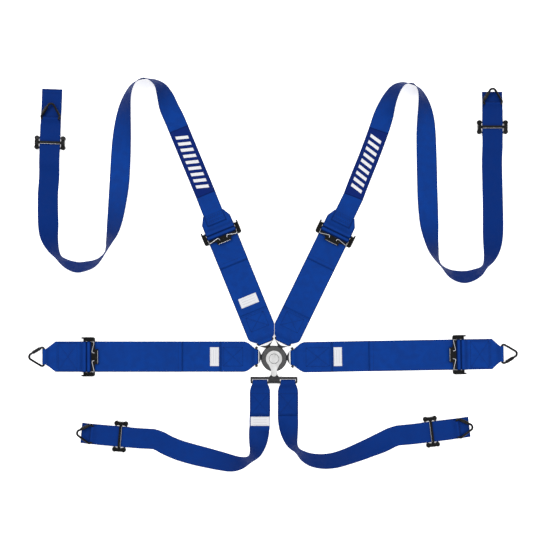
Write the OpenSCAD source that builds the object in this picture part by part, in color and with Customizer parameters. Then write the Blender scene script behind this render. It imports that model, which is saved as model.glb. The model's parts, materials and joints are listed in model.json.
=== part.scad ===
// Six-point racing harness laid out flat, cam-lock buckle face up.
// The origin is the centre of the buckle's back face. +Y runs to the shoulder hooks, -Y to the leg straps.
// A "spot" is [x, y, heading]: its own x axis points outward along the strap, its y axis to the left.

/* [Webbing] */
// Width of the shoulder and lap webbing
wide_web = 76; // [74:1:77]
// Width of the upper shoulder and leg webbing
slim_web = 50.8; // [48:0.4:51]
// Thickness of the webbing
web_t = 1.5; // [1.2:0.1:1.5]
// Height of the lowest webbing face above the floor
web_z = 0.2; // [0.2:0.1:0.4]

/* [Buckle] */
// Outer radius of the housing
housing_r = 31; // [30.5:0.5:31]
// Height of the housing's top face
housing_top = 19; // [19:0.2:19.2]
// Thickness of the back plate
plate_t = 3; // [2.6:0.2:3]
// Radius of the lever's disc
lever_disc_r = 20; // [16:1:22]
// Length of the lever's arm from the centre to its tip
lever_reach = 44; // [38:1:48]
// Width of the lever's arm
lever_w = 15; // [12:1:16]

/* [Tongues] */
// Thickness of the tongue plates
tongue_t = 3; // [2.6:0.2:3]
// Width of each blade
blade_w = 13; // [11:0.5:13]
// Radius of each latch hole
latch_hole_r = 3.25; // [3.2:0.05:3.5]
// Distance from the buckle's centre to each latch hole
latch_pitch = 17; // [17:0.5:18]

/* [Hooks] */
// Radius of the hook wire
wire_r = 2.75; // [2.5:0.05:2.75]
// Distance from the hook's base bar to the centre of its nose arc
hook_nose = 29.25; // [28:0.25:30]
// Centre-line radius of the hook's nose
nose_r = 8; // [7:0.5:8]
// Radius of the gate sleeve
gate_r = 4.25; // [3.5:0.25:4.25]

/* [Layout] */
// Length of the left shoulder strap from tongue bar to adjuster
left_shoulder_run = 292; // [280:1:300]
// Length of the right shoulder strap from tongue bar to adjuster
right_shoulder_run = 299; // [290:1:305]
// Length of the left lap strap from tongue bar to adjuster
left_lap_run = 420; // [400:1:425]
// Length of the right lap strap from tongue bar to adjuster
right_lap_run = 417; // [400:1:425]

/* [Hidden] */

$fn = 48;

WEB_BLUE = [0.10, 0.26, 0.58];
PATCH_NAVY = [0.04, 0.12, 0.39];
STEEL_BLACK = [0.08, 0.08, 0.09];
STEEL_GREY = [0.25, 0.25, 0.27];
SATIN_SILVER = [0.75, 0.75, 0.76];
LABEL_WHITE = [0.92, 0.92, 0.93];

// Heights shared by everything that meets a bar
bar_z = 5.5;
bar_w = 6;
tongue_wrap_r = 3.7;
grip_x = -1.5;
rear_x = 9.2;
double_top = web_z + 2 * web_t;
single_mid = web_z + web_t / 2;
clearance = 0.3;

// Where each strap leaves its tongue: bar centre and heading
left_shoulder = [-22.2, 42.6, 112.1];
right_shoulder = [22.2, 42.6, 64];
left_lap = [-44, 4, 180];
right_lap = [46, 2, 1];
left_leg = [-35, -60, 270];
right_leg = [35, -60, 270];

// Adjuster centres, further along each strap
left_shoulder_adj = further(left_shoulder, left_shoulder_run);
right_shoulder_adj = further(right_shoulder, right_shoulder_run);
left_lap_adj = further(left_lap, left_lap_run);
right_lap_adj = further(right_lap, right_lap_run);

// Slide centres near the hooks, and the reach from each slide to its hook bar and to the free tail end
left_shoulder_slide = [-559, 538, 88];
right_shoulder_slide = [545, 577, 90];
left_leg_slide = [-384, -195, 175];
right_leg_slide = [393, -183, 7];
left_shoulder_ends = [60, 135];
right_shoulder_ends = [58, 89];
left_leg_ends = [70, 98];
right_leg_ends = [65, 96];
left_lap_hook_reach = 110;
right_lap_hook_reach = 106;

// Stack of webbing at a slide: middle height of the main run, of the return and of the free tail
main_mid = 8.75;
return_mid = 7.05;
tail_mid = 5.35;
slim_hook_z = 10.85;
hook_wrap_r = wire_r + clearance;

// ---------- functions ----------

function further(spot, s) = [spot[0] + s * cos(spot[2]), spot[1] + s * sin(spot[2]), spot[2]];

function spot_point(spot, s, z) = [spot[0] + s * cos(spot[2]), spot[1] + s * sin(spot[2]), z];

function left_of(heading) = [-sin(heading), cos(heading), 0];

function spline(a, b, c, d, u) =
    0.5 * (2 * b + (c - a) * u + (2 * a - 5 * b + 4 * c - d) * u * u + (3 * b - a - 3 * c + d) * u * u * u);

// Points of a smooth curve through rows, with a number of steps between each two
function smooth(rows, steps) = [
    for (i = [0:len(rows) - 2], k = [0:steps - 1])
        spline(rows[max(i - 1, 0)], rows[i], rows[i + 1], rows[min(i + 2, len(rows) - 1)], k / steps),
    rows[len(rows) - 1]
];

// A frame is [centre, width direction, width]. Route rows are [x, y, tilt]: a positive tilt lifts the
// left edge, a negative one the right edge, while the other edge stays on the floor.
function route_frames(rows, steps) =
    let (p = smooth(rows, steps), last = len(p) - 1)
    [for (i = [0:last])
        let (
            a = p[max(i - 1, 0)],
            b = p[min(i + 1, last)],
            side = left_of(atan2(b[1] - a[1], b[0] - a[0])),
            tilt = p[i][2]
        )
        [
            [p[i][0], p[i][1], single_mid + slim_web / 2 * abs(sin(tilt))],
            cos(tilt) * side + [0, 0, sin(tilt)],
            slim_web
        ]
    ];

// Frames of a level stretch: rows are [distance along the spot's axis, height, width]
function level_frames(spot, rows) =
    [for (r = rows) [spot_point(spot, r[0], r[1]), left_of(spot[2]), r[2]]];

function arc_rows(centre, r, from, to, steps, width) = [
    for (k = [0:steps])
        let (a = from + (to - from) * k / steps)
        [centre[0] + r * cos(a), centre[1] + r * sin(a), width]
];

// The end of a slim strap: through the slide, round the hook bar, back through the slide and out as the tail
function slim_end_rows(ends) =
    let (hook = ends[0], tail = ends[1], narrow = 37)
    concat(
        [[-85, single_mid, slim_web], [-70, 2.6, slim_web], [-56, 7, slim_web], [-45, main_mid, slim_web]],
        [[0, main_mid, slim_web], [hook - 16, main_mid, slim_web], [hook - 9, 10.6, 45]],
        arc_rows([hook, slim_hook_z], hook_wrap_r + web_t / 2, 125, -90, 12, narrow),
        [[hook - 6, return_mid, 43], [hook - 14, return_mid, slim_web], [-20, return_mid, slim_web]],
        arc_rows([-20.5, (return_mid + tail_mid) / 2], (return_mid - tail_mid) / 2, 90, 270, 4, slim_web),
        [[0, tail_mid, slim_web], [hook + 6, tail_mid, slim_web], [hook + 15, 3.6, slim_web]],
        [[hook + 22, 1.6, slim_web], [hook + 30, single_mid, slim_web], [tail, single_mid, slim_web]]
    );

// Upper shoulder strap: sewn on the loop piece, then down to the floor
function upper_start_rows() = [
    [26, 4.1, slim_web], [40, 4.1, slim_web], [54, 4.1, slim_web],
    [62, 3.2, slim_web], [72, 1.5, slim_web], [82, single_mid, slim_web]
];

// Leg strap: the sewn return on top, round the tongue bar, then out along the floor
function leg_start_rows() =
    let (narrow = 36, r = tongue_wrap_r + web_t / 2)
    concat(
        [[83, 2.55, slim_web], [24, 2.55, slim_web], [12, 5.6, 44]],
        arc_rows([0, bar_z], r, 60, 270, 12, narrow),
        [[12, single_mid, 44], [24, single_mid, slim_web], [60, single_mid, slim_web]]
    );

function ring(p, a, n, width, thickness) = [
    p + a * width / 2 + n * thickness / 2,
    p - a * width / 2 + n * thickness / 2,
    p - a * width / 2 - n * thickness / 2,
    p + a * width / 2 - n * thickness / 2
];

// Direction out of the webbing's upper face at frame i
function frame_normal(frames, i) =
    let (
        a = frames[max(i - 1, 0)][0],
        b = frames[min(i + 1, len(frames) - 1)][0],
        n = cross(b - a, frames[i][1])
    )
    n / norm(n);

// ---------- routes, as [x, y, tilt] ----------

left_upper_route = [
    [-171, 410, 0], [-200, 480, 0], [-227, 545, 0], [-248, 596, 8], [-261, 624, 20], [-270, 652, 38],
    [-281, 676, 58], [-298, 690, 74], [-320, 696, 84], [-340, 690, 80], [-354, 676, 72], [-364, 654, 62],
    [-371, 626, 48], [-376, 590, 33], [-380, 545, 18], [-383, 495, 8], [-386, 440, 8], [-390, 395, 20],
    [-395, 352, 32], [-401, 318, 46], [-409, 292, 64], [-418, 266, 80], [-431, 248, 76], [-447, 236, 67],
    [-466, 230, 61], [-486, 227, 59], [-505, 232, 64], [-521, 241, 73], [-535, 253, 80], [-546, 269, 68],
    [-554, 287, 52], [-560, 308, 35], [-563, 335, 16], [-565, 372, 2], [-565, 410, 0], [-563, 438, 0]
];

right_upper_route = [
    [198, 403, 0], [214, 445, 0], [240, 510, 0], [262, 570, -4], [272, 602, -14], [280, 628, -34],
    [290, 652, -48], [304, 673, -60], [323, 684, -76], [344, 682, -84], [359, 671, -74], [368, 654, -62],
    [374, 630, -46], [378, 597, -27], [380, 550, -10], [382, 480, -2], [384, 400, -2], [387, 338, -18],
    [391, 300, -38], [397, 270, -54], [405, 247, -72], [416, 230, -80], [434, 214, -68], [452, 206, -58],
    [470, 203, -54], [488, 206, -58], [507, 215, -68], [523, 229, -82], [534, 247, -66], [541, 270, -46],
    [545, 298, -26], [547, 335, -8], [547, 385, 0], [546, 430, 0], [545, 478, 0]
];

left_leg_route = [
    [-35, -130, 0], [-36, -155, 0], [-36, -172, 0], [-37, -179, 0], [-38, -191, 12], [-41, -212, 32],
    [-47, -232, 54], [-60, -249, 76],
    [-80, -258, 62], [-104, -260, 44], [-132, -255, 33], [-164, -248, 24], [-200, -240, 12],
    [-236, -230, 4], [-264, -219, 0], [-284, -208, 0]
];

right_leg_route = [
    [35, -130, 0], [35, -150, -2], [38, -180, -28], [45, -207, -54], [57, -226, -78], [73, -241, -68],
    [94, -251, -58], [122, -255, -52], [152, -252, -48], [182, -243, -45], [212, -232, -38],
    [242, -220, -30], [270, -209, -14], [292, -199, 0]
];

left_upper_frames = concat(
    level_frames(left_shoulder_adj, upper_start_rows()),
    route_frames(left_upper_route, 2),
    level_frames(left_shoulder_slide, slim_end_rows(left_shoulder_ends))
);
right_upper_frames = concat(
    level_frames(right_shoulder_adj, upper_start_rows()),
    route_frames(right_upper_route, 2),
    level_frames(right_shoulder_slide, slim_end_rows(right_shoulder_ends))
);
left_leg_frames = concat(
    level_frames(left_leg, leg_start_rows()),
    route_frames(left_leg_route, 3),
    level_frames(left_leg_slide, slim_end_rows(left_leg_ends))
);
right_leg_frames = concat(
    level_frames(right_leg, leg_start_rows()),
    route_frames(right_leg_route, 3),
    level_frames(right_leg_slide, slim_end_rows(right_leg_ends))
);

// ---------- shared shapes ----------

module place(spot) {
    translate([spot[0], spot[1], 0]) rotate([0, 0, spot[2]]) children();
}

// Extrudes a side view, drawn as (distance along, height), across the strap
module across(width) {
    rotate([90, 0, 0]) linear_extrude(height = width, center = true) children();
}

// A closed band that follows frames from first to last, raised along their normals and narrowed by a cut.
// Its upper and lower faces share one diagonal, so that a twisted stretch never folds through itself.
module band(frames, first, last, rise, cut, thickness) {
    count = last - first;
    points = [
        for (i = [first:last])
            let (n = frame_normal(frames, i))
            each ring(frames[i][0] + n * rise, frames[i][1], n, frames[i][2] - cut, thickness)
    ];
    sides = [
        for (i = [0:count - 1], k = [0:3])
            let (m = (k + 1) % 4, here = 4 * i, next = 4 * i + 4)
            each k == 2
                ? [[here + k, next + k, here + m], [here + m, next + k, next + m]]
                : [[here + k, next + m, here + m], [here + k, next + k, next + m]]
    ];
    end = 4 * count;
    caps = [[1, 2, 3], [0, 1, 3], [end + 2, end + 1, end], [end + 3, end + 2, end]];
    polyhedron(points = points, faces = concat(sides, caps), convexity = 10);
}

module ribbon(frames) {
    band(frames, 0, len(frames) - 1, 0, 0, web_t);
}

// Side view of webbing that wraps a bar at the origin of the view and lies double from "merge" onward
module wrap_outer(inner_r, merge, height) {
    outer_r = inner_r + web_t;
    translate([0, height]) circle(r = outer_r);
    polygon([
        [0, height + outer_r], [merge, double_top], [merge + 1, double_top],
        [merge + 1, web_z], [merge, web_z], [0, height - outer_r]
    ]);
}

module wrap_inner(inner_r, merge, height) {
    translate([0, height]) circle(r = inner_r);
    polygon([
        [0, height + inner_r], [merge * 0.8, web_z + web_t + 0.1],
        [merge * 0.8, web_z + web_t - 0.1], [0, height - inner_r]
    ]);
}

// Lower strap in its own spot: wrapped round the tongue bar, sewn double, then single to the adjuster
module lower_strap(run, sewn, taper) {
    merge = 18;
    end_gap = 12;
    bar_half = 18;
    half = wide_web / 2;
    intersection() {
        across(wide_web) difference() {
            union() {
                wrap_outer(tongue_wrap_r, merge, bar_z);
                polygon([
                    [merge, web_z], [run - end_gap, web_z], [run - end_gap, web_z + web_t],
                    [sewn, web_z + web_t], [sewn, double_top], [merge, double_top]
                ]);
            }
            wrap_inner(tongue_wrap_r, merge, bar_z);
        }
        linear_extrude(height = 20) polygon([
            [-8, -bar_half + 1], [0, -bar_half], [taper, -half], [run, -half],
            [run, half], [taper, half], [0, bar_half], [-8, bar_half - 1]
        ]);
    }
}

// Tail in the adjuster's spot: under and round the gripping bar, then back over the strap
module tail_webbing(tail_length) {
    inner_r = 3.8;
    outer_r = inner_r + web_t;
    tail_z = 2;
    fork = grip_x - outer_r;
    start = -11.7;
    across(wide_web) {
        difference() {
            translate([grip_x, bar_z]) circle(r = outer_r);
            translate([grip_x, bar_z]) circle(r = inner_r);
            polygon([[grip_x, bar_z], [grip_x - 16, bar_z - 4], [grip_x - 16, -2], [grip_x, -2]]);
        }
        translate([start, web_z]) square([grip_x + 0.1 - start, web_t]);
        polygon([
            [fork, bar_z], [grip_x - inner_r, bar_z], [fork + 1.7, 4.2], [fork + 0.9, 2.9],
            [fork - 0.7, tail_z],
            [-tail_length, tail_z], [-tail_length, tail_z + web_t], [fork - 1.3, tail_z + web_t],
            [fork - 0.3, 4.2]
        ]);
    }
}

wing_in = 38.8;
wing_out = 49;

// Plan of one adjuster wing: round at the buckle's side, with a hooked tip at the far end
module wing_plan() {
    corner_r = 5;
    tip_r = 1.9;
    near = -17.5;
    far = 11;
    translate([near + corner_r, wing_in]) square([far - near - corner_r, wing_out - wing_in]);
    translate([near, wing_in]) square([corner_r + 1, wing_out - wing_in - corner_r]);
    translate([near + corner_r, wing_out - corner_r]) circle(r = corner_r);
    translate([far - 1, wing_out - 2 * tip_r]) square([4.8, 2 * tip_r]);
    translate([far + 3.8, wing_out - tip_r]) circle(r = tip_r);
}

// Wing with its raised outer and inner walls round a sunk floor
module wing() {
    bottom = 0.3;
    top = 11.6;
    floor_z = 7.6;
    difference() {
        intersection() {
            linear_extrude(height = 20) wing_plan();
            across_at((wing_in + wing_out) / 2, 30) polygon([
                [-18, 4], [-14, bottom], [11, bottom], [17, bottom + 3], [17, 9.6],
                [11, top], [-12, top], [-18, 9]
            ]);
        }
        translate([-12, wing_in + 2, floor_z]) cube([20.5, wing_out - wing_in - 4.2, 10]);
        translate([-11.5, wing_out - 5.2, floor_z]) cylinder(r = 3, h = 10);
    }
}

// Adjuster in its own spot: two wings, the rear bar, the gripping bar and the lip with its lift tab
module adjuster() {
    bar_length = 2 * wing_in + 3;
    lip_z = 6.6;
    lip_t = 2;
    lip_near = -8.4;
    tab_far = -25.5;
    for (flip = [0, 1]) mirror([0, flip, 0]) wing();
    translate([rear_x, 0, bar_z]) rotate([90, 0, 0]) cylinder(r = 3, h = bar_length, center = true);
    translate([grip_x, 0, bar_z]) rotate([90, 0, 0]) cylinder(r = 3.5, h = bar_length, center = true);
    translate([0, 0, lip_z]) linear_extrude(height = lip_t) polygon([
        [lip_near, -wing_in - 1], [-16.5, -wing_in - 1], [-17, -21], [-19, -18], [tab_far + 1.5, -19.5],
        [tab_far, -17.5], [tab_far, 17.5], [tab_far + 1.5, 19.5], [-19, 18], [-17, 21],
        [-16.5, wing_in + 1], [lip_near, wing_in + 1]
    ]);
    translate([tab_far, -17, lip_z + 1]) cube([2, 34, lip_t + 0.4]);
}

module across_at(offset_y, width) {
    translate([0, offset_y, 0]) across(width) children();
}

// Loop piece in the adjuster's spot: round the rear bar and double beneath the slim strap
module loop_piece() {
    merge = 15;
    reach = 54;
    half = wide_web / 2;
    intersection() {
        across(wide_web) translate([rear_x, 0]) difference() {
            union() {
                wrap_outer(3.3, merge, bar_z);
                polygon([
                    [merge, web_z], [reach - rear_x, web_z],
                    [reach - rear_x, double_top], [merge, double_top]
                ]);
            }
            wrap_inner(3.3, merge, bar_z);
        }
        linear_extrude(height = 20) polygon([
            [0, -half], [34, -half], [reach, -27], [reach, 27], [34, half], [0, half]
        ]);
    }
}

// Lap end piece in the adjuster's spot: round the rear bar, sewn double, and round the hook bar
module lap_end(hook_reach) {
    merge = 15;
    half = wide_web / 2;
    hook_half = 19;
    intersection() {
        across(wide_web) difference() {
            union() {
                translate([rear_x, 0]) wrap_outer(3.3, merge, bar_z);
                translate([hook_reach, 0]) mirror([1, 0]) wrap_outer(hook_wrap_r, merge, bar_z);
                translate([rear_x + merge, web_z])
                    square([hook_reach - rear_x - 2 * merge, 2 * web_t]);
            }
            translate([rear_x, 0]) wrap_inner(3.3, merge, bar_z);
            translate([hook_reach, 0]) mirror([1, 0]) wrap_inner(hook_wrap_r, merge, bar_z);
        }
        linear_extrude(height = 20) polygon([
            [0, -half], [82, -half], [hook_reach - 4, -hook_half], [hook_reach + 6, -hook_half],
            [hook_reach + 6, hook_half], [hook_reach - 4, hook_half], [82, half], [0, half]
        ]);
    }
}

// Flat tongue in its strap's spot. skew turns the blade so that it points at the buckle's centre.
module tongue(half, reach, skew) {
    neck = reach - 33;
    hole = reach - latch_pitch;
    translate([0, 0, bar_z - tongue_t / 2]) linear_extrude(height = tongue_t) difference() {
        union() {
            translate([-bar_w / 2, -half + 3]) square([bar_w, 2 * half - 6]);
            for (side = [-1, 1]) translate([0, side * (half - 3)]) circle(r = bar_w / 2);
            polygon([
                [-neck, -blade_w / 2], [-3, -half + 1], [0, -half + 3], [0, half - 3],
                [-3, half - 1], [-neck, blade_w / 2]
            ]);
            rotate(skew) translate([-hole, -blade_w / 2]) square([hole - neck + 2, blade_w]);
            rotate(skew) translate([-hole, 0]) circle(r = blade_w / 2);
        }
        polygon([
            [-bar_w / 2, -half + 4], [-6, -half + 5], [-neck + 4, -2.5],
            [-neck + 4, 2.5], [-6, half - 5], [-bar_w / 2, half - 4]
        ]);
        rotate(skew) translate([-hole, 0]) circle(r = latch_hole_r);
    }
}

// Three-bar slide in its own spot: two waisted end caps, two round outer bars and a flat centre bar
module slide() {
    cap_y = 32.8;
    knob_r = 6;
    knob_x = 11.5;
    waist = 8.6;
    rim_half = 18;
    flat_half = 16;
    hump_half = 5;
    cap_top = 8.8;
    hump_top = 14.2;
    bar_end = 30;
    outer_bar_x = 13;
    outer_bar_z = 2.3;
    outer_bar_r = 2;
    centre_bar_x = 3.5;
    centre_bar_z = 9.8;
    centre_bar_t = 3;
    for (flip = [0, 1]) mirror([0, flip, 0]) intersection() {
        linear_extrude(height = hump_top + 1) {
            for (end = [-1, 1]) translate([end * knob_x, cap_y]) circle(r = knob_r);
            translate([-knob_x, cap_y - waist / 2]) square([2 * knob_x, waist]);
        }
        across_at(cap_y, 3 * knob_r) polygon([
            [-rim_half, 2.5], [-flat_half, 0], [flat_half, 0], [rim_half, 2.5],
            [rim_half, cap_top - 2.2], [flat_half, cap_top], [8, cap_top + 0.6], [hump_half, hump_top],
            [-hump_half, hump_top], [-8, cap_top + 0.6], [-flat_half, cap_top], [-rim_half, cap_top - 2.2]
        ]);
    }
    for (end = [-1, 1]) translate([end * outer_bar_x, 0, outer_bar_z])
        rotate([90, 0, 0]) cylinder(r = outer_bar_r, h = 2 * bar_end - 2, center = true);
    translate([-centre_bar_x, -bar_end, centre_bar_z]) cube([2 * centre_bar_x, 2 * bar_end, centre_bar_t]);
}

// Hook geometry: the arms are the outer tangents of the corner arcs and the nose arc
bend_r = 5;
base_half = 18;
arm = [hook_nose - bend_r, -base_half];
arm_turn = asin((nose_r - bend_r) / norm(arm));
arm_length = norm(arm) * cos(arm_turn);
arm_heading = atan2(arm[1], arm[0]) + arm_turn;
pivot_along = 5;
stub_end = 1.1;
gate_start = 2.2;
gate_end = 26.5;
gate_gap = 0.4;
pin_r = 1;
pin_hole_r = 1.08;
ear_t = 2.4;
ear_r = 2.6;
rod_r = wire_r - 0.03;
let_in = 0.2;

// Moves to the gated arm: x runs along it from its base end, y points out of the hook
module on_arm() {
    translate([bend_r, base_half, 0]) rotate([0, 0, arm_heading]) translate([0, bend_r, 0]) children();
}

// Straight wire: a hair thinner than the arcs and let into them, so that every joint is a clean step
module wire_rod(from, to) {
    translate([from, 0, 0]) rotate([0, 90, 0]) cylinder(r = rod_r, h = to - from);
}

module wire_arc(radius, angle) {
    rotate_extrude(angle = angle) translate([radius, 0]) circle(r = wire_r);
}

// Wire hook in its own spot at the height of its base bar, open on the arm that the gate closes
module hook(gate_side, height) {
    translate([0, 0, height]) mirror([0, gate_side < 0 ? 1 : 0, 0]) {
        rotate([0, 0, 90]) wire_rod(-base_half - let_in, base_half + let_in);
        for (flip = [0, 1]) mirror([0, flip, 0])
            translate([bend_r, base_half, 0]) rotate([0, 0, arm_heading + 90])
                wire_arc(bend_r, 90 - arm_heading);
        mirror([0, 1, 0]) on_arm() wire_rod(-let_in, arm_length + let_in);
        translate([hook_nose, 0, 0]) rotate([0, 0, -(arm_heading + 90)])
            wire_arc(nose_r, 2 * (arm_heading + 90));
        on_arm() {
            wire_rod(gate_end + gate_gap, arm_length + let_in);
            difference() {
                union() {
                    wire_rod(-let_in, stub_end);
                    translate([stub_end / 2, -ear_r, -ear_t / 2])
                        cube([pivot_along - stub_end / 2, 2 * ear_r, ear_t]);
                    translate([pivot_along, 0, -ear_t / 2]) cylinder(r = ear_r, h = ear_t);
                }
                translate([pivot_along, 0, -ear_t]) cylinder(r = pin_hole_r, h = 2 * ear_t);
            }
        }
    }
}

// Sleeve gate with a slotted end that straddles the wire's ear on its own cross pin
module gate(gate_side, height) {
    slot_half = ear_t / 2 + 0.2;
    translate([0, 0, height]) mirror([0, gate_side < 0 ? 1 : 0, 0]) on_arm() {
        difference() {
            union() {
                translate([gate_start, 0, 0]) rotate([0, 90, 0])
                    cylinder(r = wire_r, h = gate_end - gate_start);
                translate([pivot_along - 2, 0, 0]) rotate([0, 90, 0])
                    cylinder(r = gate_r, h = gate_end - pivot_along - 1);
            }
            translate([0, -8, -slot_half]) cube([pivot_along + wire_r + 0.6, 16, 2 * slot_half]);
        }
        translate([pivot_along, 0, -slot_half - 0.2]) cylinder(r = pin_r, h = 2 * slot_half + 0.4);
    }
}

// A label sewn on a lower strap: from one distance to another along the spot
module sewn_label(spot, from, to) {
    place(spot) translate([from, -label_w / 2, on_strap]) cube([to - from, label_w, label_t]);
}

// ---------- buckle ----------

mouth_headings = [117.5, 62.5, 175, 2.5, 270];
pin_headings = [117.5, 62.5, 175, 270];
screw_headings = [34, 90, 146, 222, 318];
screw_pitch = 23.5;
screw_r = 1.5;
spindle_r = 5;
spindle_z = 1.05;
hub_r = 6.8;
pin_low_r = 3;
guide_z = 8.2;
guide_t = 2.3;
collar_r = 3.8;
collar_z = 11.9;

module around(headings, radius) {
    for (h = headings) rotate([0, 0, h]) translate([radius, 0, 0]) children();
}

module buckle_cover() {
    cavity_r = housing_r - 3;
    roof = housing_top - 3;
    color(STEEL_BLACK) difference() {
        rotate_extrude() polygon([
            [hub_r + 0.1, roof], [cavity_r - 5, roof], [cavity_r, 11.5], [cavity_r, plate_t + 0.05],
            [housing_r, plate_t + 0.05], [housing_r, 14.5], [housing_r - 1.5, 16.5],
            [housing_r - 5, housing_top], [hub_r + 0.1, housing_top]
        ]);
        around(mouth_headings, housing_r - 6) translate([0, -7.6, 2]) cube([12, 15.2, 5.8]);
    }
}

module buckle_rim() {
    color(STEEL_GREY) rotate_extrude() polygon([
        [housing_r + 0.02, 9], [housing_r + 1, 9], [housing_r + 1.3, 10], [housing_r + 1.3, 12.5],
        [housing_r + 0.8, 13.6], [housing_r + 0.02, 13.6]
    ]);
}

module buckle_back_plate() {
    color(STEEL_GREY) difference() {
        cylinder(r = housing_r, h = plate_t, $fn = 96);
        translate([0, 0, spindle_z - 0.05]) cylinder(r = spindle_r + 0.02, h = plate_t);
        around(screw_headings, screw_pitch) {
            translate([0, 0, -1]) cylinder(r = screw_r + 0.02, h = plate_t + 2);
            translate([0, 0, -1]) cylinder(r = 2.9, h = 2.7);
        }
    }
}

module buckle_screws() {
    color(STEEL_GREY) around(screw_headings, screw_pitch) difference() {
        union() {
            translate([0, 0, 0.3]) cylinder(r = 2.8, h = 1.4);
            translate([0, 0, 1.6]) cylinder(r = screw_r, h = 8.4);
        }
        translate([0, 0, 0]) cylinder(r = 1, h = 1.1, $fn = 6);
    }
}

module buckle_spindle() {
    color(STEEL_GREY) {
        translate([0, 0, spindle_z]) cylinder(r = spindle_r, h = 22.4 - spindle_z);
        translate([0, 0, plate_t + 0.05]) cylinder(r = 7, h = 0.9);
    }
}

module guide_plate() {
    color(STEEL_GREY) difference() {
        union() {
            translate([0, 0, guide_z]) cylinder(r = 27.5, h = guide_t, $fn = 96);
            around(screw_headings, screw_pitch) translate([0, 0, plate_t + 0.05]) cylinder(r = 3, h = 6);
        }
        cylinder(r = spindle_r + 0.05, h = 20);
        around(screw_headings, screw_pitch) cylinder(r = screw_r + 0.02, h = 20);
        around(pin_headings, latch_pitch) {
            cylinder(r = pin_low_r + 0.05, h = 20);
            translate([0, 0, guide_z + 0.9]) cylinder(r = collar_r + 0.3, h = guide_t);
        }
        rotate([0, 0, 2.5]) translate([latch_pitch, 0, 0]) cylinder(r = 3.02, h = 20);
    }
}

module fixed_tongue_rivet() {
    color(STEEL_GREY) rotate([0, 0, 2.5]) translate([latch_pitch, 0, 0]) {
        translate([0, 0, plate_t + 0.1]) cylinder(r = 3, h = 7.6);
        translate([0, 0, guide_z + guide_t + 0.05]) cylinder(r = 3.9, h = 1);
    }
}

module turn_lever() {
    lever_z = housing_top + 0.4;
    lever_t = 3;
    fillet_x = lever_disc_r * 0.7;
    color(SATIN_SILVER) difference() {
        union() {
            translate([0, 0, 15.9]) cylinder(r = hub_r, h = lever_z - 15.8);
            translate([0, 0, lever_z]) cylinder(r = lever_disc_r, h = lever_t, $fn = 96);
            translate([-lever_w / 2, -(lever_reach - lever_w / 2), lever_z])
                cube([lever_w, lever_reach - lever_w / 2, lever_t]);
            translate([0, -(lever_reach - lever_w / 2), lever_z]) cylinder(r = lever_w / 2, h = lever_t);
            translate([0, 0, lever_z]) linear_extrude(height = lever_t) polygon([
                [-fillet_x, -fillet_x], [fillet_x, -fillet_x],
                [lever_w / 2, -1.9 * fillet_x], [-lever_w / 2, -1.9 * fillet_x]
            ]);
        }
        translate([0, 0, 10]) cylinder(r = spindle_r + 0.05, h = 20);
    }
}

module release_cam() {
    lobes = 3;
    cam_t = 3;
    color(STEEL_GREY) translate([0, 0, 12.8]) linear_extrude(height = cam_t) difference() {
        union() {
            circle(r = 8.5);
            for (k = [0:lobes - 1]) rotate(90 + k * 360 / lobes)
                translate([7, -2.5]) square([4.4, 5]);
        }
        circle(r = spindle_r + 0.05);
    }
}

module lever_cap() {
    cap_r = 11.5;
    color(SATIN_SILVER) rotate_extrude() polygon([
        [0, 22.55], [cap_r, 22.55], [cap_r, 23.2], [cap_r - 0.8, 24], [cap_r - 2, 24],
        [cap_r - 2.8, 23.3], [0, 23.7]
    ]);
}

module lever_spring() {
    color(STEEL_GREY) for (k = [0:1])
        translate([0, 0, 11.15 + k]) rotate_extrude() translate([6.4, 0]) circle(r = 0.45);
}

module latch_pins() {
    color(STEEL_GREY) around(pin_headings, latch_pitch) {
        translate([0, 0, 7.6]) cylinder(r = pin_low_r, h = 4.4);
        translate([0, 0, collar_z]) cylinder(r = collar_r, h = 1.2);
        translate([0, 0, collar_z + 1]) cylinder(r = 2.2, h = 1.4);
    }
}

module latch_springs() {
    color(SATIN_SILVER) around(pin_headings, latch_pitch) for (k = [0:2])
        translate([0, 0, collar_z + 1.65 + 0.9 * k]) rotate_extrude($fn = 24)
            translate([3, 0]) circle(r = 0.4, $fn = 16);
}

// ---------- tongues ----------

shoulder_half = 22.5;
lap_half = 26;

module shoulder_tongue_left() {
    color(STEEL_GREY) place(left_shoulder) tongue(shoulder_half, 48, 5.4);
}

module shoulder_tongue_right() {
    color(STEEL_GREY) place(right_shoulder) tongue(shoulder_half, 48, -1.5);
}

module lap_tongue_left() {
    color(STEEL_GREY) place(left_lap) tongue(lap_half, 44.2, -5.2);
}

module lap_tongue_right() {
    color(STEEL_GREY) place(right_lap) tongue(lap_half, 46, 1.5);
}

// T-shaped tongue: a flat rail, and below it a round bar that both leg straps wrap
module crotch_tongue() {
    bar_y = left_leg[1];
    rail_y = -46;
    rail_w = 6;
    bar_r = 3;
    post_in = 54.2;
    post_w = 4.6;
    hub_half = 15;
    color(STEEL_GREY) {
        translate([0, 0, bar_z - tongue_t / 2]) linear_extrude(height = tongue_t) difference() {
            union() {
                translate([-post_in - 2, rail_y - rail_w]) square([2 * post_in + 4, rail_w]);
                for (side = [-1, 1]) translate([side * (post_in + post_w / 2), 0]) {
                    translate([-post_w / 2, bar_y]) square([post_w, rail_y - 2.3 - bar_y]);
                    for (y = [bar_y, rail_y - 2.3]) translate([0, y]) circle(r = post_w / 2);
                }
                polygon([
                    [-hub_half, rail_y - 3], [-hub_half + 1, bar_y - 2.5], [hub_half - 1, bar_y - 2.5],
                    [hub_half, rail_y - 3], [8.5, rail_y + 4], [7, -34], [-7, -34], [-8.5, rail_y + 4]
                ]);
                translate([-blade_w / 2, -40]) square([blade_w, 40 - latch_pitch]);
                translate([0, -latch_pitch]) circle(r = blade_w / 2);
            }
            translate([0, -latch_pitch]) circle(r = latch_hole_r);
        }
        translate([0, bar_y, bar_z]) rotate([0, 90, 0])
            cylinder(r = bar_r, h = 2 * post_in + 2, center = true);
    }
}

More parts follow.
